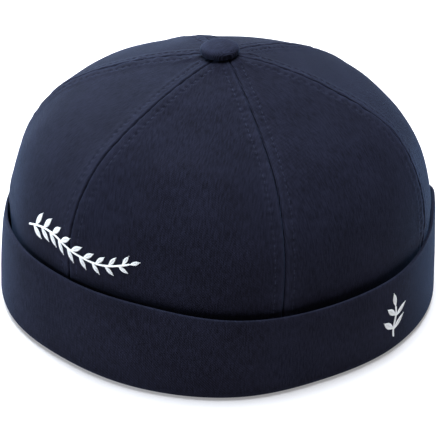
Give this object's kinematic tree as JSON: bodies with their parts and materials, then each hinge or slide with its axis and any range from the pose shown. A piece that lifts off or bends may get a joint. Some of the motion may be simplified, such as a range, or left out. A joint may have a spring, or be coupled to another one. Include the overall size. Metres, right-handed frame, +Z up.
{
  "type": "docker cap",
  "caption": "Brimless docker cap: a soft paneled crown with a covered button on top and a turned-up cuff round the rim; open below for the head.",
  "frame": {"origin": "the middle of the rim, on the surface that the cap stands on", "axes": "+Z up through the top button; -Y towards the front of the cap, where one crown seam runs; +X towards the wearer's left"},
  "size_m": [0.1939, 0.1998, 0.1186],
  "materials": {
    "crown_twill": "matt cotton twill, dark navy",
    "cuff_twill": "matt cotton twill, dark navy",
    "button_twill": "matt cotton twill, dark navy"
  },
  "bodies": {
    "root": {"crown_panel_front_left": "crown_twill", "crown_panel_left": "crown_twill", "crown_panel_back_left": "crown_twill", "crown_panel_back_right": "crown_twill", "crown_panel_right": "crown_twill", "crown_panel_front_right": "crown_twill", "cuff": "cuff_twill", "top_button": "button_twill"}
  },
  "joints": []
}
